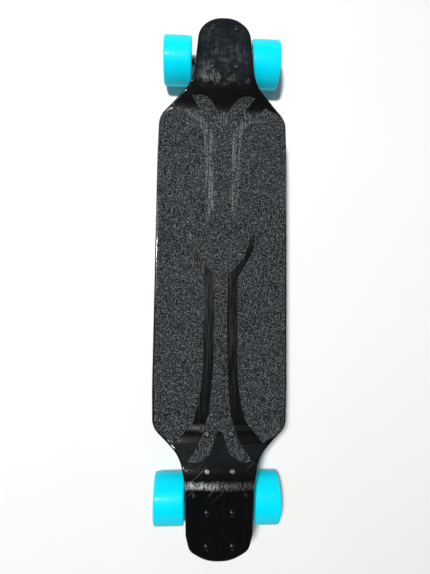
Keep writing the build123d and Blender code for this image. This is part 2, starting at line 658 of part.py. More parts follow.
def windings():
    """One copper coil round each tooth."""
    inner = STATOR_HUB_R + 2.2
    outer = STATOR_R - TOOTH_TIP_T - 0.9
    half = STATOR_HALF_W + WINDING_OVERHANG
    width = 2 * (inner + 1) * math.tan(math.pi / TEETH) - 0.8
    coils = []
    for i in range(TEETH):
        coil = Box(2 * half, outer - inner, width)
        coil = fillet(coil.edges().filter_by(Axis.Y), 1.4)
        coil = coil - Box(2 * STATOR_HALF_W + 0.2, outer, TOOTH_W + 0.2)
        coils.append(Rot(360 / TEETH * i, 0, 0) * Pos(0, (inner + outer) / 2, 0) * coil)
    return coils


def place_wheel(shape, right, axle_y):
    """Set a wheel piece on the right, or mirrored on the left."""
    if right:
        return Pos(TRACK_HALF, axle_y, AXLE_Z) * shape
    return Pos(-TRACK_HALF, axle_y, AXLE_Z) * mirror(shape, about=Plane.YZ)


def axle_nuts():
    """Lock nuts on the front axle's ends."""
    start = TRACK_HALF + OUTER_BEARING_U + BEARING_W + WASHER_T + 3 * SIDE_PLAY
    nut = hexagon((start, 0, 0), (1, 0, 0), FRONT_AXLE_R + 3, 6)
    nut = nut - rod((start - 1, 0, 0), (1, 0, 0), FRONT_AXLE_R, 8)
    return group([nut, mirror(nut, about=Plane.YZ)])


def speed_washers():
    """Thin washers each side of a front wheel's bearings."""
    washers = []
    for start in (NECK_END_FRONT + SIDE_PLAY,
                  TRACK_HALF + OUTER_BEARING_U + BEARING_W + SIDE_PLAY):
        washer = tube((start, 0, 0), (1, 0, 0), FRONT_AXLE_R + 1.8, FRONT_AXLE_R + RUNNING_FIT, WASHER_T)
        washers += [washer, mirror(washer, about=Plane.YZ)]
    return group(washers)


def axle(radius, end):
    """Straight steel axle."""
    bar = rod((-end, 0, 0), (1, 0, 0), radius, 2 * end)
    return chamfer(bar.edges(), 0.6)


# ---------------------------------------------------------------- fasteners
def button_bolt(place, normal, grip, radius=M5_R, head_r=HEAD_R, head_h=HEAD_H):
    """Button-head bolt: its head on a surface, its shank going that far in."""
    head = Plane(origin=place, z_dir=normal) * Cylinder(head_r, head_h, align=BOTTOM)
    head = fillet(head.faces().sort_by(Axis.Z)[-1].edges(), head_h * 0.55)
    socket = Plane(origin=place + normal * head_h * 0.35, z_dir=normal) * extrude(
        RegularPolygon(radius * 0.68, 6), head_h)
    shank = rod(place - normal * grip, normal, radius, grip)
    return (head - socket) + shank


def front_deck_bolts():
    """Four bolts through the nose plate, the riser and the baseplate."""
    grip = DECK_T + RISER_T + BASE_T + NUT_H + 1.5
    up = Vector(0, 0, 1)
    return group([button_bolt(Vector(x, y, PLATE_TOP_Z + GLUE), up, grip) for x, y in front_bolt_places()])


def front_deck_nuts():
    """Lock nuts under the front baseplate."""
    z = AXLE_Z + TRUCK_H - BASE_T - GLUE
    nuts = [hexagon((x, y, z), (0, 0, -1), 4.6, NUT_H) - rod((x, y, z + 1), (0, 0, -1), M5_R, NUT_H + 2)
            for x, y in front_bolt_places()]
    return group(nuts)


def tail_bolts():
    """Eight bolts that hold the tail bracket under the deck."""
    grip = DECK_T + RISER_T - 1.5
    return group([button_bolt(place + normal * GLUE, normal, grip) for place, normal in tail_bolt_places()])


def tail_side_screws():
    """Two small screws at the sides of the tail bracket."""
    grip = DECK_T + RISER_T - 3
    return group([button_bolt(place + normal * GLUE, normal, grip, M4_R, M4_R + 1.2, 1.6)
                  for place, normal in side_screw_places()])


def rear_truck_screws():
    """Four screws that fix the rear baseplate up into the tail bracket."""
    z = TRUCK_H - BASE_T - GLUE
    down = Vector(0, 0, -1)
    return group([button_bolt(Vector(x, y, z), down, BASE_T + RISER_T - 2) for x, y in truck_bolt_places()])


# ---------------------------------------------------------------- riser and tail bracket
def front_riser():
    """Rubber pad between the nose plate and the front baseplate."""
    pad = Pos(0, FRONT_AXLE_Y - PATTERN_TO_AXLE, AXLE_Z + TRUCK_H) * Box(
        BASE_W, BASE_L, RISER_T, align=BOTTOM)
    pad = fillet(pad.edges().filter_by(Axis.Z), 9)
    holes = [rod((x, y, PLATE_UNDER_Z + 1), (0, 0, -1), M5_HOLE_R, RISER_T + 2)
             for x, y in front_bolt_places()]
    return pad - holes


def tail_bracket(outline):
    """Casting that follows the tail's underside; the rear truck bolts to it from below."""
    length = BRACKET_FRONT_Y - TAIL_Y
    band = Pos(0, (BRACKET_FRONT_Y + TAIL_Y) / 2) * Rectangle(2 * BRACKET_HALF_W, length)
    flat = offset(outline, -BRACKET_MARGIN) & band
    body = layer(DECK_T + GLUE, RISER_T, flat)
    cuts = [rod(place + normal * DECK_T, -normal, M5_R, 4 * DECK_T)
            for place, normal in tail_bolt_places()]
    cuts += [rod(place + normal * DECK_T, -normal, M4_R, 4 * DECK_T)
             for place, normal in side_screw_places()]
    cuts.append(Pos(0, REAR_AXLE_Y + PATTERN_TO_AXLE, AXLE_Z + TRUCK_H) * Box(
        BASE_W + 2, BASE_L + 2, 4 * DECK_T, align=(Align.CENTER, Align.CENTER, Align.MAX)))
    for x, y in truck_bolt_places():
        cuts.append(rod((-x, REAR_AXLE_Y - y, AXLE_Z), (0, 0, 1), M5_R, TRUCK_H + RISER_T - 1.5))
    return body - cuts


# ---------------------------------------------------------------- battery case
def case_plan(extra=0.0):
    """The case's plan, grown by a margin."""
    length = CASE_Y1 - CASE_Y0
    middle = (CASE_Y0 + CASE_Y1) / 2
    return Pos(0, middle) * RectangleRounded(2 * (CASE_HALF_W + extra), length + 2 * extra,
                                             CASE_CORNER_R + extra)


def case_holes(radius, z, depth):
    """Holes for the case's screws, from a height upwards."""
    return [rod((x, y, z), (0, 0, 1), radius, depth) for x, y in case_screw_places()]


def case_tray():
    """Moulded tray with a flange and openings for the button, the port and the gauge."""
    floor = Pos(0, 0, CASE_FLOOR_Z)
    body = floor * extrude(case_plan(), CASE_DEPTH)
    body = fillet(body.faces().sort_by(Axis.Z)[0].edges(), 4)
    flange = Pos(0, 0, CASE_TOP_Z - FLANGE_T) * extrude(case_plan(FLANGE_W), FLANGE_T)
    hollow = Pos(0, 0, CASE_FLOOR_Z + CASE_WALL) * extrude(case_plan(-CASE_WALL), CASE_DEPTH)
    wall_z = control_z()
    left = -CASE_HALF_W - 1
    reach = CASE_WALL + 2
    cuts = [hollow]
    cuts.append(rod((left, BUTTON_Y, wall_z), (1, 0, 0), BUTTON_R + 1.6, reach))
    cuts.append(rod((left, PORT_Y, wall_z), (1, 0, 0), PORT_BORE_R + 2.2, reach))
    cuts.append(Pos(left + reach / 2, GAUGE_Y, wall_z) * Box(reach, 16.2, 6.2))
    cuts += [rod((x, CASE_Y0 - 1, wall_z), (0, 1, 0), 4.0, reach) for x in (-GLAND_X, GLAND_X)]
    body = body + flange - cuts
    return body - case_holes(M4_R + 0.3, CASE_TOP_Z - FLANGE_T - 1, FLANGE_T + 2)


def control_z():
    """Height of the button, the port and the gauge on the case's wall."""
    return CASE_TOP_Z - FLANGE_T - (CASE_DEPTH - FLANGE_T) / 2


def case_gasket():
    """Rubber seal that fills the space between the flange and the deck's underside."""
    ring = case_plan(FLANGE_W) - case_plan(-CASE_WALL)
    body = Pos(0, 0, CASE_TOP_Z) * extrude(ring, GASKET_T)
    return body - case_holes(M4_R + 0.3, CASE_TOP_Z - 1, GASKET_T + 2)


def case_screws():
    """Screws up through the flange into the deck's inserts."""
    z = CASE_TOP_Z - FLANGE_T - GLUE
    down = Vector(0, 0, -1)
    screws = []
    for x, y in case_screw_places():
        screws.append(button_bolt(Vector(x, y, z), down, INSERT_TOP_Z - z - 0.5, M4_R, M4_R + 1.8, 2.2))
    return group(screws)


def case_inserts():
    """Brass threaded inserts in the deck."""
    length = INSERT_L - 0.4
    return group([tube((x, y, INSERT_TOP_Z - length), (0, 0, 1), INSERT_R, M4_R, length)
                  for x, y in case_screw_places()])


CELL_Z = CASE_FLOOR_Z + CASE_WALL + GLUE + CELL_R
CELL_FIRST_Y = CASE_Y1 - CASE_WALL - CELL_ROW_MARGIN - CELL_R


def battery_cells():
    """Lithium cells lying across the case, two to a row."""
    cells = []
    for i in range(CELL_ROWS):
        y = CELL_FIRST_Y - CELL_PITCH * i
        for x in (-CELL_L - CELL_MIDDLE_GAP / 2, CELL_MIDDLE_GAP / 2):
            cell = rod((x, y, CELL_Z), (1, 0, 0), CELL_R, CELL_L)
            cells.append(chamfer(cell.edges(), 0.5))
    return group(cells)


def cell_links():
    """Nickel strips that join the cells' ends in pairs."""
    links = []
    t = 0.3
    end = CELL_MIDDLE_GAP / 2 + CELL_L
    for i in range(CELL_ROWS // 2):
        y = CELL_FIRST_Y - CELL_PITCH * (2 * i + 0.5)
        for x in (-end - t, end):
            links.append(Pos(x + t / 2, y, CELL_Z) * Box(t, CELL_PITCH + 9, 8))
    return group(links)


ELECTRONICS_Y = CASE_Y0 + CASE_WALL + BAY_L / 2
ELECTRONICS_L = BAY_L - 24
BOARD_Z = CASE_FLOOR_Z + CASE_WALL


def battery_manager():
    """Battery management board on its standoffs, with its chips and connector."""
    x = 34
    board = Pos(x, ELECTRONICS_Y, BOARD_Z + 4) * Box(52, ELECTRONICS_L, 1.6, align=BOTTOM)
    for sx in (-22, 22):
        for sy in (4 - ELECTRONICS_L / 2, ELECTRONICS_L / 2 - 4):
            board += Pos(x + sx, ELECTRONICS_Y + sy, BOARD_Z) * Cylinder(3, 4, align=BOTTOM)
    for i in range(6):
        board += Pos(x - 16, ELECTRONICS_Y - 35 + 14 * i, BOARD_Z + 5.6) * Box(10, 9, 3, align=BOTTOM)
    board += Pos(x + 12, ELECTRONICS_Y + 34, BOARD_Z + 5.6) * Box(22, 9, 8, align=BOTTOM)
    board += Pos(x + 12, ELECTRONICS_Y - 10, BOARD_Z + 5.6) * Box(12, 12, 2, align=BOTTOM)
    return board


def motor_controller():
    """Speed controller: a finned aluminium block."""
    x = -24
    block = Pos(x, ELECTRONICS_Y, BOARD_Z) * Box(48, ELECTRONICS_L, 18, align=BOTTOM)
    slots = [Pos(x - 18 + 6 * i, ELECTRONICS_Y, BOARD_Z + 11) * Box(3, ELECTRONICS_L + 2, 10, align=BOTTOM)
             for i in range(7)]
    return block - slots


def power_button():
    """Sprung button cap with its stem."""
    z = control_z()
    face = -CASE_HALF_W - BEZEL_PROUD - BUTTON_TRAVEL - 0.3
    cap = rod((face, BUTTON_Y, z), (1, 0, 0), BUTTON_R, 4)
    cap = fillet(cap.faces().sort_by(Axis.X)[0].edges(), 1)
    return cap + rod((face + 4, BUTTON_Y, z), (1, 0, 0), 2, 3)


def button_housing():
    """Bezel and switch body that the button slides in."""
    z = control_z()
    outer = -CASE_HALF_W - BEZEL_PROUD
    inner_r = BUTTON_R + 0.4
    bezel = tube((outer, BUTTON_Y, z), (1, 0, 0), BUTTON_R + 3.4, inner_r, 1.1)
    barrel = tube((outer, BUTTON_Y, z), (1, 0, 0), BUTTON_R + 1.5, inner_r, 9)
    back = rod((outer + 9, BUTTON_Y, z), (1, 0, 0), BUTTON_R + 1.5, 4)
    back = back - rod((outer + 6, BUTTON_Y, z), (1, 0, 0), 2.4, 5.5)
    return bezel + barrel + back


def charge_port():
    """Round charging socket with its outer flange and inner nut."""
    z = control_z()
    outer = -CASE_HALF_W - 1.6
    length = PORT_BORE_L + 2
    body = rod((outer, PORT_Y, z), (1, 0, 0), PORT_BORE_R + 2, length)
    lip = rod((outer, PORT_Y, z), (1, 0, 0), PORT_BORE_R + 4.2, 1.5)
    nut = hexagon((-CASE_HALF_W + CASE_WALL + 0.1, PORT_Y, z), (1, 0, 0), PORT_BORE_R + 4.6, 3)
    return body + lip + nut - rod((outer - 1, PORT_Y, z), (1, 0, 0), PORT_BORE_R, PORT_BORE_L + 1)


def gauge_lens():
    """Clear window of the charge gauge."""
    z = control_z()
    lens = Pos(-CASE_HALF_W + 0.3, GAUGE_Y, z) * Box(2.2, 16, 6)
    return fillet(lens.edges().filter_by(Axis.X), 1.2)


def cable_glands():
    """Two glands for the motor leads in the case's rear wall."""
    z = control_z()
    glands = []
    for x in (-GLAND_X, GLAND_X):
        nut = hexagon((x, CASE_Y0 - 0.1, z), (0, -1, 0), 6.5, 5)
        stem = rod((x, CASE_Y0 - 8, z), (0, 1, 0), 3.9, 8 + CASE_WALL + 1)
        glands.append(nut + stem - rod((x, CASE_Y0 - 12, z), (0, 1, 0), 2.4, 30))
    return group(glands)


# ---------------------------------------------------------------- build
def build_deck():
    outline = deck_outline()
    write("deck_board", deck_board(outline))
    write("grip_tape", grip_tape(outline))
    write("front_riser", front_riser())
    write("tail_bracket", tail_bracket(outline))
    write("front_deck_bolts", front_deck_bolts())
    write("front_deck_nuts", front_deck_nuts())
    write("tail_bolts", tail_bolts())
    write("tail_side_screws", tail_side_screws())
    write("rear_truck_screws", place_truck(rear_truck_screws(), False))


def build_trucks():
    for name, front, axle_r, neck_end in (("front", True, FRONT_AXLE_R, NECK_END_FRONT),
                                          ("rear", False, REAR_AXLE_R, NECK_END_REAR)):
        write(name + "_baseplate", place_truck(baseplate(), front))
        write(name + "_hanger", place_truck(hanger(axle_r, neck_end), front))
        write(name + "_pivot_cup", place_truck(pivot_cup(), front))
        write(name + "_kingpin", place_truck(kingpin(), front))
        write(name + "_kingpin_nut", place_truck(kingpin_nut(), front))
        write(name + "_bushings", place_truck(bushings(), front))
        write(name + "_cup_washers", place_truck(cup_washers(), front))
    write("front_axle", place_truck(axle(FRONT_AXLE_R, FRONT_AXLE_END), True))
    write("rear_axle", place_truck(axle(REAR_AXLE_R, REAR_AXLE_END), False))
    write("front_axle_nuts", place_truck(axle_nuts(), True))
    write("front_speed_washers", place_truck(speed_washers(), True))


def build_wheels():
    for side, right in (("left", False), ("right", True)):
        front = "front_" + side
        write(front + "_tyre", place_wheel(tyre(CORE_R), right, FRONT_AXLE_Y))
        write(front + "_core", place_wheel(core(), right, FRONT_AXLE_Y))
        write(front + "_bearings", place_wheel(front_bearings(), right, FRONT_AXLE_Y))
        write(front + "_spacer", place_wheel(spacer(), right, FRONT_AXLE_Y))
        rear = "rear_" + side
        write(rear + "_tyre", place_wheel(tyre(SLEEVE_R), right, REAR_AXLE_Y))
        write(rear + "_rotor_can", place_wheel(rotor_can(), right, REAR_AXLE_Y))
        write(rear + "_motor_cover", place_wheel(motor_cover(), right, REAR_AXLE_Y))
        write(rear + "_motor_bearings", place_wheel(motor_bearings(), right, REAR_AXLE_Y))
        write(rear + "_magnets", place_wheel(magnets(), right, REAR_AXLE_Y))
    stators = [place_wheel(stator(), right, REAR_AXLE_Y) for right in (False, True)]
    write("motor_stators", group(stators))
    coils = [place_wheel(coil, right, REAR_AXLE_Y) for right in (False, True) for coil in windings()]
    write("motor_windings", group(coils))


def build_case():
    write("case_tray", case_tray())
    write("case_gasket", case_gasket())
    write("case_screws", case_screws())
    write("case_inserts", case_inserts())
    write("battery_cells", battery_cells())
    write("cell_links", cell_links())
    write("battery_manager", battery_manager())
    write("motor_controller", motor_controller())
    write("power_button", power_button())
    write("button_housing", button_housing())
    write("charge_port", charge_port())
    write("gauge_lens", gauge_lens())
    write("cable_glands", cable_glands())


os.makedirs("parts", exist_ok=True)
build_deck()
build_trucks()
build_wheels()
build_case()
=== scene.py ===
import json
import math

import bmesh
import bpy
from mathutils import Matrix, Vector

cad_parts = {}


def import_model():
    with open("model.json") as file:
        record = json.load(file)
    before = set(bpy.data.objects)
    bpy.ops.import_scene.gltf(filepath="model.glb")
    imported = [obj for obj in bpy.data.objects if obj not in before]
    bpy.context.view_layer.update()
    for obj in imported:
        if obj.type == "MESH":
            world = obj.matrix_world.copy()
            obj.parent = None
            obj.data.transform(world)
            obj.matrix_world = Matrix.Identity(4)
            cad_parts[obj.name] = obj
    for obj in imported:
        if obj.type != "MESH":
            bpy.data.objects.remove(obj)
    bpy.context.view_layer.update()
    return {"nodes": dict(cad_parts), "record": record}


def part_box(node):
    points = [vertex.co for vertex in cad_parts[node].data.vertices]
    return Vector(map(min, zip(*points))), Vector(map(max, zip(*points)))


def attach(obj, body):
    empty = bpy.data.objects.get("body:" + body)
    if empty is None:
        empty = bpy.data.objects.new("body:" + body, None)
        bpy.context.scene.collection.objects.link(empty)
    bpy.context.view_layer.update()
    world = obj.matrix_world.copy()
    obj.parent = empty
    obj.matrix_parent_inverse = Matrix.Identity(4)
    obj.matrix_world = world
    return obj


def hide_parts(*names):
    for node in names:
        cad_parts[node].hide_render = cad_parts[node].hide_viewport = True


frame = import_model()
nodes = frame["nodes"]

MM = 0.001

# Where the lacquer is marked or carries a painted highlight, in metres along the board (+Y is the nose).
# Each pair runs from no mark to full mark.
NOSE_DUST_Y = (0.322, 0.345)
NOSE_DUST_X = (0.052, 0.034)          # fades towards the plate's sides
REAR_BOLTS_Y = (0.41, 0.36)           # dust is thickest round the nose plate's rear bolts
FRONT_WEAR_START_Y = (0.03, 0.12)
FRONT_WEAR_END_Y = (0.297, 0.277)
REAR_WEAR_START_Y = (0.06, 0.0)
REAR_WEAR_END_Y = (-0.27, -0.22)
SCRATCH_TAIL_Y = (-0.385, -0.345)
SCRATCH_NOSE_Y = (-0.300, -0.325)
SCRATCH_TURN = 0.72                   # radians from across the board
# Painted highlight: light bands across the rear slope's head and foot bends.
HEAD_HIGHLIGHT_TAIL_Y = (-0.3560, -0.3490)
HEAD_HIGHLIGHT_NOSE_Y = (-0.3385, -0.3475)
FOOT_HIGHLIGHT_TAIL_Y = (-0.268, -0.261)
FOOT_HIGHLIGHT_NOSE_Y = (-0.252, -0.259)
PLIES_PER_METRE = 540.0

# Tyres.  Each bore is its core's or its motor can's size.
TYRE_BORE = {"front": 30 * MM, "rear": 36 * MM}
TYRE_LIP = 4 * MM
TYRE_CROWN = 0.25 * MM
TYRE_DISH = 1 / 3                     # part of the side wall that slopes in to the bore
GROOVE = 0.35 * MM                    # depth of the fine ring in the side wall
GROOVE_PLACE = 0.55                   # from the dish's edge towards the lip
TYRE_SEGMENTS = 160
LIP_STEPS = 9
TREAD_STEPS = 8

FLOOR_HALF = 12.0

CAMERA_LENS = 26.98                   # millimetres, on a 36 mm sensor
CAMERA_PLACE = (-0.0556, -0.0803, 0.8463)
CAMERA_TURN = (4.400, -3.545, 0.714)  # degrees from straight down


# ---------------------------------------------------------------- material kit
MATERIALS = {}                        # every finished material, by its slot's name


class Surface:
    """A node material, with short names for the nodes it is made of."""

    def __init__(self, name, **shader):
        material = bpy.data.materials.new(name)
        material.use_nodes = True
        MATERIALS[name] = material
        self.tree = material.node_tree
        self.bsdf = self.tree.nodes["Principled BSDF"]
        for key, value in shader.items():
            self.bsdf.inputs[key.replace("_", " ")].default_value = value
        self.place = self.tree.nodes.new("ShaderNodeTexCoord").outputs["Object"]

    def node(self, kind, **props):
        """A new node, with its properties set."""
        made = self.tree.nodes.new(kind)
        for key, value in props.items():
            setattr(made, key, value)
        return made

    def feed(self, socket, value):
        """Links a socket to another, or sets it to a plain value."""
        if isinstance(value, bpy.types.NodeSocket):
            self.tree.links.new(value, socket)
        else:
            socket.default_value = value

    def scaled(self, x, y, z, turn=0.0):
        """Object coordinates, turned about Z and then stretched by a factor each way."""
        made = self.node("ShaderNodeMapping", vector_type="TEXTURE")
        self.feed(made.inputs["Vector"], self.place)
        made.inputs["Scale"].default_value = (1 / x, 1 / y, 1 / z)
        made.inputs["Rotation"].default_value = (0, 0, turn)
        return made.outputs["Vector"]

    def noise(self, scale, detail=3.0, rough=0.5, at=None):
        """Cloudy noise, of about this many blobs in a metre."""
        made = self.node("ShaderNodeTexNoise")
        self.feed(made.inputs["Vector"], at or self.place)
        self.feed(made.inputs["Scale"], scale)
        made.inputs["Detail"].default_value = detail
        made.inputs["Roughness"].default_value = rough
        return made.outputs["Fac"]

    def cells(self, scale, feature="F1", out="Distance"):
        """Packed cells: distances to their middles or edges, or a colour for each."""
        made = self.node("ShaderNodeTexVoronoi", feature=feature)
        self.feed(made.inputs["Vector"], self.place)
        made.inputs["Scale"].default_value = scale
        return made.outputs[out]

    def ramp(self, fac, *stops):
        """A colour ramp from (position, colour) stops."""
        made = self.node("ShaderNodeValToRGB")
        ramp = made.color_ramp
        while len(ramp.elements) < len(stops):
            ramp.elements.new(0.5)
        for element, (position, value) in zip(ramp.elements, stops):
            element.position = position
            element.color = (*value, 1)
        self.feed(made.inputs["Fac"], fac)
        return made.outputs["Color"]

    def mix(self, fac, a, b):
        """One colour over another."""
        made = self.node("ShaderNodeMix", data_type="RGBA")
        self.feed(made.inputs[0], fac)
        for socket, value in ((made.inputs[6], a), (made.inputs[7], b)):
            self.feed(socket, value if isinstance(value, bpy.types.NodeSocket) else (*value, 1))
        return made.outputs[2]

    def math(self, operation, a, b=0.5, clamp=False):
        """One sum of two values.  An operation on one value leaves the second unread."""
        made = self.node("ShaderNodeMath", operation=operation, use_clamp=clamp)
        self.feed(made.inputs[0], a)
        self.feed(made.inputs[1], b)
        return made.outputs[0]

    def product(self, value, *others):
        """Masks or amounts multiplied together."""
        for other in others:
            value = self.math("MULTIPLY", value, other)
        return value

    def between(self, value, low, high, to_low=0.0, to_high=1.0):
        """Maps a range of a value to another range, clamped and smooth at its ends."""
        made = self.node("ShaderNodeMapRange", interpolation_type="SMOOTHSTEP")
        self.feed(made.inputs["Value"], value)
        made.inputs["From Min"].default_value = low
        made.inputs["From Max"].default_value = high
        made.inputs["To Min"].default_value = to_low
        made.inputs["To Max"].default_value = to_high
        return made.outputs[0]

    def axis(self, name):
        """One object coordinate."""
        made = self.node("ShaderNodeSeparateXYZ")
        self.feed(made.inputs[0], self.place)
        return made.outputs[name]

    def first(self, color):
        """One number from a colour."""
        made = self.node("ShaderNodeSeparateColor")
        self.feed(made.inputs[0], color)
        return made.outputs[0]

    def facing(self, name):
        """One part of the surface's own normal."""
        geometry = self.node("ShaderNodeNewGeometry")
        made = self.node("ShaderNodeSeparateXYZ")
        self.feed(made.inputs[0], geometry.outputs["Normal"])
        return made.outputs[name]

    def color(self, value):
        """The shader's own colour."""
        self.feed(self.bsdf.inputs["Base Color"], value)

    def rough(self, value):
        """The shader's roughness."""
        self.feed(self.bsdf.inputs["Roughness"], value)

    def bump(self, height, depth_mm, strength=1.0):
        """Fine relief, as a height of 0 to 1 times a depth."""
        made = self.node("ShaderNodeBump")
        self.feed(made.inputs["Height"], height)
        made.inputs["Distance"].default_value = depth_mm * MM
        made.inputs["Strength"].default_value = strength
        self.feed(self.bsdf.inputs["Normal"], made.outputs[0])
        return made.outputs[0]


# ---------------------------------------------------------------- materials
def nose_dust(s, x, y, streak, cloud):
    """Dust on the nose plate, thickest round its rear bolts."""
    plate = s.product(s.between(y, *NOSE_DUST_Y), s.between(s.math("ABSOLUTE", x), *NOSE_DUST_X))
    by_bolts = s.between(y, *REAR_BOLTS_Y, 0.40, 1.0)
    mottle = s.between(s.noise(130, 4, 0.65), 0.36, 0.62, 0.2, 1.0)
    patches = s.between(cloud, 0.38, 0.60, 0.12, 1.0)
    lines = s.between(streak, 0.38, 0.64, 0.12, 1.0)
    return s.product(plate, by_bolts, patches, lines, mottle)


def front_wear(s, y, streak, speckle):
    """Feet have scuffed the bare channels in front."""
    channels = s.product(s.between(y, *FRONT_WEAR_START_Y), s.between(y, *FRONT_WEAR_END_Y))
    lines = s.between(streak, 0.40, 0.60, 0.15, 1.0)
    grit = s.between(speckle, 0.42, 0.60, 0.12, 1.0)
    return s.product(channels, lines, grit)


def rear_wear(s, y, streak):
    """Faint lengthwise lines in the rear channels."""
    channels = s.product(s.between(y, *REAR_WEAR_START_Y), s.between(y, *REAR_WEAR_END_Y))
    return s.product(channels, s.between(streak, 0.42, 0.7), 0.30)


def scratches(s, y):
    """A few long slanted scratches across the rear bend."""
    across = s.noise(1.0, 1, 0.5, s.scaled(14, 700, 14, SCRATCH_TURN))
    patch = s.noise(60, 2, 0.5)
    near_bend = s.product(s.between(y, *SCRATCH_TAIL_Y), s.between(y, *SCRATCH_NOSE_Y))
    return s.product(s.between(across, 0.69, 0.75), s.between(patch, 0.42, 0.55), near_bend)


def painted_bend_highlights(s, x, y, cloud):
    """A painted highlight along the rear slope's head and foot bends, brightest on the left, speckled."""
    highlight_leftward = s.between(x, 0.030, -0.045, 0.14, 1.0)
    wander = s.math("ADD", y, s.between(cloud, 0.35, 0.65, -0.0015, 0.0015))
    head = s.product(s.between(wander, *HEAD_HIGHLIGHT_TAIL_Y), s.between(wander, *HEAD_HIGHLIGHT_NOSE_Y))
    foot = s.product(s.between(wander, *FOOT_HIGHLIGHT_TAIL_Y), s.between(wander, *FOOT_HIGHLIGHT_NOSE_Y, 0.0, 0.24))
    fleck = s.between(s.noise(1.0, 4, 0.7, s.scaled(620, 190, 620)), 0.42, 0.64, 0.03, 1.0)
    return s.product(s.math("ADD", head, foot), highlight_leftward, fleck)


def plywood(s, z):
    """Thin brown plies, with dark glue lines, as a cut edge shows them."""
    plies = s.math("FRACT", s.product(z, PLIES_PER_METRE))
    wood = s.ramp(plies, (0.0, (0.13, 0.068, 0.035)), (0.42, (0.17, 0.094, 0.05)),
                  (0.5, (0.045, 0.026, 0.015)), (0.92, (0.06, 0.034, 0.02)), (1.0, (0.13, 0.068, 0.035)))
    return s.mix(s.noise(1.0, 3, 0.6, s.scaled(60, 60, 900)), wood, (0.05, 0.03, 0.02))


def deck_lacquer():
    """Gloss black lacquer over wood: grain, scuffs and dust on top, painted highlight bands at the rear
    slope's bends, bare ply on the rim.
    """
    s = Surface("deck_lacquer", Coat_Weight=0.6, Specular_IOR_Level=0.03)
    x = s.axis("X")
    y = s.axis("Y")
    top = s.between(s.facing("Z"), 0.3, 0.6)
    side = s.between(s.math("ABSOLUTE", s.facing("Z")), 0.55, 0.35)
    grain = s.noise(1.0, 5, 0.65, s.scaled(420, 9, 420))
    fibre = s.noise(1.0, 3, 0.7, s.scaled(1500, 22, 1500))
    streak = s.noise(1.0, 4, 0.75, s.scaled(700, 16, 700))
    cloud = s.noise(26, 6, 0.62)
    speckle = s.noise(420, 3, 0.7)
    dusty = s.product(nose_dust(s, x, y, streak, cloud), top)
    worn = s.product(front_wear(s, y, streak, speckle), top)
    faint = rear_wear(s, y, streak)
    # Painted highlight across the rear slope's bends, on top faces only.
    wear_and_highlight = s.product(painted_bend_highlights(s, x, y, cloud), top)
    scratched = s.product(scratches(s, y), top)
    marks = s.math("ADD", s.math("ADD", dusty, worn), faint, True)

    body = s.mix(grain, (0.0010, 0.0012, 0.0014), (0.0040, 0.0046, 0.0050))
    body = s.mix(s.product(s.between(fibre, 0.5, 0.8), 0.3), body, (0.010, 0.011, 0.012))
    body = s.mix(dusty, body, (0.060, 0.069, 0.075))
    body = s.mix(faint, body, (0.034, 0.040, 0.043))
    body = s.mix(worn, body, (0.140, 0.160, 0.168))
    # Painted highlight: light grey bands at the rear slope's bends.
    body = s.mix(wear_and_highlight, body, (0.60, 0.62, 0.62))
    body = s.mix(s.product(scratched, 0.6), body, (0.14, 0.14, 0.14))
    bare = s.product(side, s.between(s.noise(45, 4, 0.6), 0.30, 0.55, 0.25, 0.9))
    s.color(s.mix(bare, body, plywood(s, s.axis("Z"))))

    rough = s.between(s.noise(60, 5, 0.6), 0.3, 0.8, 0.22, 0.34)
    rough = s.math("ADD", rough, s.product(marks, 0.6))
    rough = s.math("ADD", rough, s.product(s.between(fibre, 0.45, 0.8), 0.10))
    s.rough(s.math("ADD", rough, s.product(side, 0.3), True))
    coat_rough = s.between(s.math("ADD", marks, side), 0.0, 0.6, 0.085, 0.6)
    s.feed(s.bsdf.inputs["Coat Roughness"], coat_rough)
    relief = s.bump(s.math("ADD", grain, s.product(fibre, 0.8)), 0.10, 0.55)
    s.feed(s.bsdf.inputs["Coat Normal"], relief)


def grip():
    """Black abrasive grit: packed granules, a few painted light grey as painted glints and made less rough
    so they also catch the lamps.
    """
    s = Surface("grip", Specular_IOR_Level=0.2)
    grain = s.cells(1150)
    tint = s.first(s.cells(1150, out="Color"))
    coarse = s.noise(480, 2, 0.6)
    patch = s.noise(9, 5, 0.6)
    body = s.mix(s.between(coarse, 0.44, 0.59), (0.0006, 0.0008, 0.0010), (0.033, 0.040, 0.045))
    body = s.mix(s.product(s.between(patch, 0.4, 0.8), 0.20), body, (0.020, 0.024, 0.026))
    # Painted glints: a few granules painted light grey, standing in for sparkle.
    body = s.mix(s.between(tint, 0.85, 0.97), body, (0.200, 0.222, 0.236))
    s.color(body)
    s.rough(s.between(tint, 0.8, 1.0, 0.9, 0.45))
    s.bump(s.math("ADD", s.math("SUBTRACT", 1.0, grain), coarse), 0.35, 0.9)


def wheel_urethane():
    """Saturated cyan cast urethane, a little translucent, scuffed on its tread."""
    s = Surface("wheel_urethane", Subsurface_Weight=0.12, Subsurface_Scale=0.004,
                Specular_IOR_Level=0.06, Coat_Weight=0.10, Coat_Roughness=0.13)
    s.bsdf.inputs["Subsurface Radius"].default_value = (0.2, 1.0, 1.0)
    cloud = s.noise(38, 4, 0.6)
    fine = s.noise(900, 3, 0.6)
    scuff = s.noise(1.0, 4, 0.7, s.scaled(60, 900, 900))
    cyan = s.mix(cloud, (0.0, 0.64, 0.84), (0.0, 0.76, 0.96))
    cyan = s.mix(s.product(s.between(scuff, 0.62, 0.8), 0.25), cyan, (0.10, 0.42, 0.50))
    s.color(cyan)
    s.rough(s.between(s.noise(140, 4, 0.65), 0.3, 0.75, 0.30, 0.52))
    s.bump(s.math("ADD", fine, scuff), 0.04, 0.3)


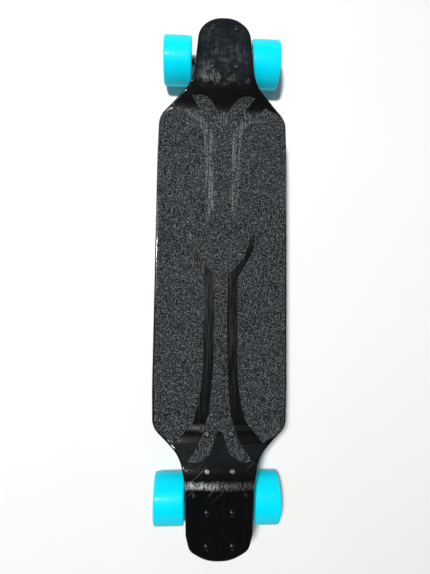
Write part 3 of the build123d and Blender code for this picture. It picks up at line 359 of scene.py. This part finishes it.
def grained(name, low, high, rough, metal=0.0, grain=300.0, depth=0.05,
            stretch=(1, 1, 1), wear=None, **shader):
    """A surface whose colour, roughness and relief all vary with one grain."""
    s = Surface(name, Metallic=metal, **shader)
    fine = s.noise(grain, 4, 0.6, s.scaled(*stretch))
    cloud = s.noise(28, 4, 0.6)
    mottled = s.math("ADD", fine, cloud)
    body = s.mix(s.product(mottled, 0.5), low, high)
    if wear:
        wear_and_highlight = s.between(s.noise(90, 6, 0.7), 0.60, 0.68)
        body = s.mix(s.product(wear_and_highlight, 0.6), body, wear)
    s.color(body)
    s.rough(s.between(mottled, 0.6, 1.4, *rough))
    s.bump(fine, depth, 0.5)


def gridded(name, low, high, line, scale):
    """A circuit board: fine tracks over solder mask."""
    s = Surface(name, IOR=1.5)
    tracks = s.cells(scale, "DISTANCE_TO_EDGE")
    fine = s.noise(scale * 3, 2, 0.5)
    body = s.mix(fine, low, high)
    s.color(s.mix(s.between(tracks, 0.06, 0.02), body, line))
    s.rough(s.between(fine, 0.3, 0.7, 0.25, 0.45))
    s.bump(tracks, 0.05, 0.4)


def banded(name, dark, light, per_metre, rough, metal):
    """Thin layers or turns side by side along X."""
    s = Surface(name, Metallic=metal)
    wave = s.product(s.math("PINGPONG", s.product(s.axis("X"), per_metre), 0.5), 2.0)
    cloud = s.noise(120, 3, 0.6)
    body = s.mix(wave, dark, light)
    s.color(s.mix(s.product(cloud, 0.4), body, dark))
    s.rough(s.between(cloud, 0.3, 0.7, *rough))
    s.bump(wave, 0.25, 0.8)


def window():
    """Smoked clear window of the gauge, with a faint haze."""
    s = Surface("gauge_window", Transmission_Weight=0.6, IOR=1.5)
    haze = s.noise(400, 3, 0.6)
    s.color(s.mix(haze, (0.05, 0.10, 0.12), (0.10, 0.16, 0.18)))
    s.rough(s.between(haze, 0.3, 0.7, 0.05, 0.16))


def metals():
    """Steels, alloys and plated parts."""
    grained("zinc_steel", (0.040, 0.041, 0.043), (0.10, 0.10, 0.105), (0.20, 0.34), 1.0, 350, 0.03,
            stretch=(1, 1, 6), wear=(0.22, 0.215, 0.20))
    grained("black_steel", (0.02, 0.02, 0.022), (0.06, 0.06, 0.062), (0.2, 0.36), 0.7, 700, 0.03,
            wear=(0.25, 0.25, 0.25))
    grained("bearing_steel", (0.46, 0.46, 0.48), (0.72, 0.72, 0.74), (0.12, 0.26), 1.0, 500, 0.02)
    grained("black_casting", (0.010, 0.010, 0.011), (0.030, 0.030, 0.032), (0.32, 0.5), 0, 850, 0.07,
            wear=(0.07, 0.07, 0.068), Coat_Weight=0.2, Coat_Roughness=0.3)
    grained("motor_shell", (0.012, 0.012, 0.014), (0.035, 0.035, 0.038), (0.28, 0.42), 0.4, 900, 0.04,
            wear=(0.12, 0.12, 0.12))
    grained("magnet", (0.5, 0.5, 0.5), (0.66, 0.66, 0.65), (0.2, 0.35), 1.0, 300, 0.02)
    grained("brass_insert", (0.55, 0.38, 0.15), (0.78, 0.60, 0.30), (0.25, 0.4), 1.0, 600, 0.05)
    grained("nickel", (0.5, 0.49, 0.45), (0.68, 0.67, 0.62), (0.25, 0.4), 1.0, 400, 0.03)
    grained("controller_aluminium", (0.24, 0.24, 0.25), (0.40, 0.40, 0.42), (0.3, 0.45), 1.0, 500, 0.04,
            stretch=(1, 8, 1))
    grained("port_metal", (0.42, 0.42, 0.43), (0.62, 0.62, 0.63), (0.18, 0.32), 1.0, 500, 0.02)
    banded("lamination", (0.16, 0.17, 0.19), (0.42, 0.43, 0.46), 2000.0, (0.3, 0.5), 1.0)
    banded("copper", (0.35, 0.12, 0.05), (0.80, 0.36, 0.18), 1100.0, (0.25, 0.4), 0.9)


def plastics():
    """Rubber, urethane, moulded parts, wraps and the circuit boards."""
    grained("rubber", (0.012, 0.012, 0.012), (0.03, 0.03, 0.031), (0.55, 0.8), 0, 500, 0.08)
    grained("clear_urethane", (0.42, 0.34, 0.18), (0.60, 0.52, 0.34), (0.3, 0.45), 0, 300, 0.04,
            Transmission_Weight=0.3, IOR=1.48)
    grained("bushing_urethane", (0.020, 0.020, 0.022), (0.05, 0.05, 0.055), (0.35, 0.5), 0, 400, 0.05)
    grained("core_plastic", (0.012, 0.012, 0.013), (0.03, 0.03, 0.032), (0.38, 0.58), 0, 1200, 0.05)
    grained("case_plastic", (0.012, 0.012, 0.013), (0.028, 0.028, 0.030), (0.42, 0.62), 0, 1400, 0.09,
            wear=(0.045, 0.045, 0.044))
    grained("cell_wrap", (0.03, 0.10, 0.22), (0.05, 0.17, 0.34), (0.2, 0.35), 0, 120, 0.03)
    grained("button_plastic", (0.015, 0.015, 0.016), (0.035, 0.035, 0.036), (0.25, 0.4), 0, 900, 0.03)
    gridded("circuit_board", (0.008, 0.06, 0.025), (0.02, 0.11, 0.045), (0.05, 0.22, 0.08), 260)
    window()


def dress():
    """Makes the materials, and gives every CAD node that of its slot."""
    deck_lacquer()
    grip()
    wheel_urethane()
    metals()
    plastics()
    for sub in frame["record"]["subparts"]:
        piece = nodes[sub["node"]]
        piece.data.materials.clear()
        piece.data.materials.append(MATERIALS[sub["material_slot"]])


# ---------------------------------------------------------------- tyres
def lathe(name, profile, segments):
    """A closed ring from (x, radius) points, turned about the X axis."""
    mesh = bpy.data.meshes.new(name)
    bm = bmesh.new()
    rings = []
    for i in range(segments):
        angle = 2 * math.pi * i / segments
        rings.append([bm.verts.new((x, r * math.cos(angle), r * math.sin(angle))) for x, r in profile])
    count = len(profile)
    for i in range(segments):
        here, there = rings[i], rings[(i + 1) % segments]
        for j in range(count):
            k = (j + 1) % count
            face = bm.faces.new((here[j], there[j], there[k], here[k]))
            face.smooth = True
    bmesh.ops.recalc_face_normals(bm, faces=bm.faces)
    bm.to_mesh(mesh)
    bm.free()
    piece = bpy.data.objects.new(name, mesh)
    bpy.context.scene.collection.objects.link(piece)
    return piece


def tyre_profile(half_width, radius, bore):
    """Section of a tyre: crowned tread, round lips, and a dished side wall with a fine ring."""
    shoulder = radius - TYRE_CROWN - TYRE_LIP
    side = []
    for i in range(LIP_STEPS + 1):
        angle = math.pi / 2 * i / LIP_STEPS
        x = half_width - TYRE_LIP + TYRE_LIP * math.sin(angle)
        side.append((x, shoulder + TYRE_LIP * math.cos(angle)))
    dish = (radius - bore) * TYRE_DISH
    ring = bore + dish + (shoulder - bore - dish) * GROOVE_PLACE
    for offset, depth in ((2.2, 0), (1.1, GROOVE), (-1.1, GROOVE), (-2.2, 0)):
        side.append((half_width - depth, ring + offset * GROOVE))
    side.append((half_width, bore + dish + 0.8 * MM))
    side.append((half_width - 0.6 * MM, bore + dish - 0.3 * MM))
    side.append((half_width - dish, bore))
    tread = []
    for i in range(TREAD_STEPS - 1, 0, -1):
        x = (half_width - TYRE_LIP) * (1 - 2 * i / TREAD_STEPS)
        tread.append((x, radius - TYRE_CROWN * (x / half_width) ** 2))
    other_side = [(-x, r) for x, r in reversed(side)]
    return side + other_side + tread


def tyres():
    """A finely turned urethane tyre in place of each plain one."""
    for end, bore in TYRE_BORE.items():
        for side in ("left", "right"):
            node = end + "_" + side + "_tyre"
            low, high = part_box(node)
            centre = (Vector(low) + Vector(high)) / 2
            half_width = (high[0] - low[0]) / 2
            radius = (high[1] - low[1]) / 2
            piece = lathe(node + "_skin", tyre_profile(half_width, radius, bore), TYRE_SEGMENTS)
            piece.data.transform(Matrix.Translation(centre))
            piece.data.materials.append(MATERIALS["wheel_urethane"])
            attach(piece, end + "_" + side + "_wheel")
            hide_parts(node)


# ---------------------------------------------------------------- room
def floor():
    """A plain pale floor."""
    s = Surface("floor", Specular_IOR_Level=0.2)
    s.color(s.mix(s.noise(3, 5, 0.6), (0.80, 0.80, 0.80), (0.84, 0.84, 0.84)))
    s.rough(s.between(s.noise(40, 3, 0.5), 0.3, 0.7, 0.7, 0.85))
    corners = [(x * FLOOR_HALF, y * FLOOR_HALF, 0) for x, y in ((-1, -1), (1, -1), (1, 1), (-1, 1))]
    mesh = bpy.data.meshes.new("floor")
    mesh.from_pydata(corners, [], [(0, 1, 2, 3)])
    mesh.materials.append(MATERIALS["floor"])
    piece = bpy.data.objects.new("floor", mesh)
    bpy.context.scene.collection.objects.link(piece)


def lamp(name, direction, distance, size, power, tint=(1, 1, 1)):
    """A square soft light that faces the board's middle."""
    data = bpy.data.lights.new(name, "AREA")
    data.shape = "SQUARE"
    data.size = size
    data.energy = power
    data.color = tint
    piece = bpy.data.objects.new(name, data)
    piece.location = Vector(direction).normalized() * distance
    piece.rotation_mode = "QUATERNION"
    piece.rotation_quaternion = Vector(direction).to_track_quat("Z", "Y")
    bpy.context.scene.collection.objects.link(piece)


def lights():
    """A small key high on the left, a dim wide sky beyond the nose, and low soft boxes all round."""
    lamp("key", (-0.21, 0.17, 1.0), distance=3.2, size=0.34, power=118, tint=(1.0, 0.985, 0.96))
    lamp("sky", (0.12, 0.62, 1.0), distance=3.0, size=1.3, power=2.2, tint=(0.50, 0.72, 1.0))
    for name, direction in (("box_left", (-1, 0, 0.35)), ("box_right", (1, 0, 0.35)),
                            ("box_nose", (0, 1, 0.30)), ("box_tail", (0, -1, 0.30))):
        lamp(name, direction, distance=2.6, size=1.4, power=6)


def world():
    """A faint even glow from all round, and plain colours."""
    made = bpy.data.worlds.new("world")
    made.use_nodes = True
    glow = made.node_tree.nodes["Background"]
    glow.inputs["Color"].default_value = (0.92, 0.95, 1.0, 1)
    glow.inputs["Strength"].default_value = 0.04
    bpy.context.scene.world = made
    bpy.context.scene.view_settings.view_transform = "Standard"


def camera():
    """Almost straight above, as a phone held over the board."""
    data = bpy.data.cameras.new("camera")
    data.lens = CAMERA_LENS
    piece = bpy.data.objects.new("camera", data)
    piece.location = CAMERA_PLACE
    piece.rotation_euler = tuple(math.radians(a) for a in CAMERA_TURN)
    bpy.context.scene.collection.objects.link(piece)
    bpy.context.scene.camera = piece


dress()
tyres()
floor()
lights()
world()
camera()
